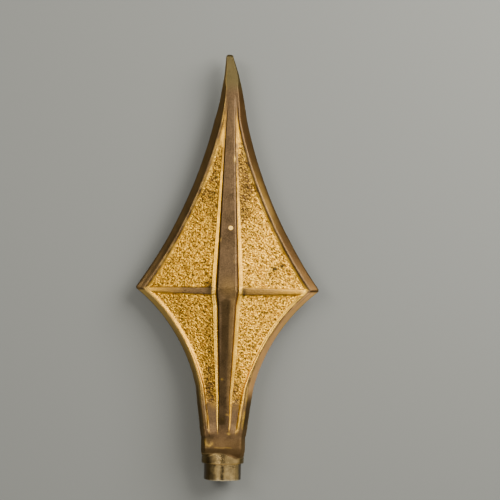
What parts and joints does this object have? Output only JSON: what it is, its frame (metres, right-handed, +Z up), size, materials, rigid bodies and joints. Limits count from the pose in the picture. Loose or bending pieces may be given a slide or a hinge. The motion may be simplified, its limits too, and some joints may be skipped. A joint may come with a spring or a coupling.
{
  "type": "flagpole finial",
  "caption": "Spear-shaped cast brass finial with stippled sunk panels, a flat midrib and a round socket, made to top a flagpole.",
  "frame": {"origin": "under the middle of the finial as it lies on its back, on the level surface", "axes": "+Y towards the point of the spear, +X across the blade, +Z up through the front face"},
  "size_m": [0.086, 0.2, 0.0216],
  "materials": {
    "cast_brass": "aged cast brass, brown patina on the smooth faces and golden stippled panels",
    "tube_brass": "turned brass, worn bright at its end"
  },
  "bodies": {
    "root": {"spear_casting": "cast_brass", "socket_tube": "tube_brass"}
  },
  "joints": []
}
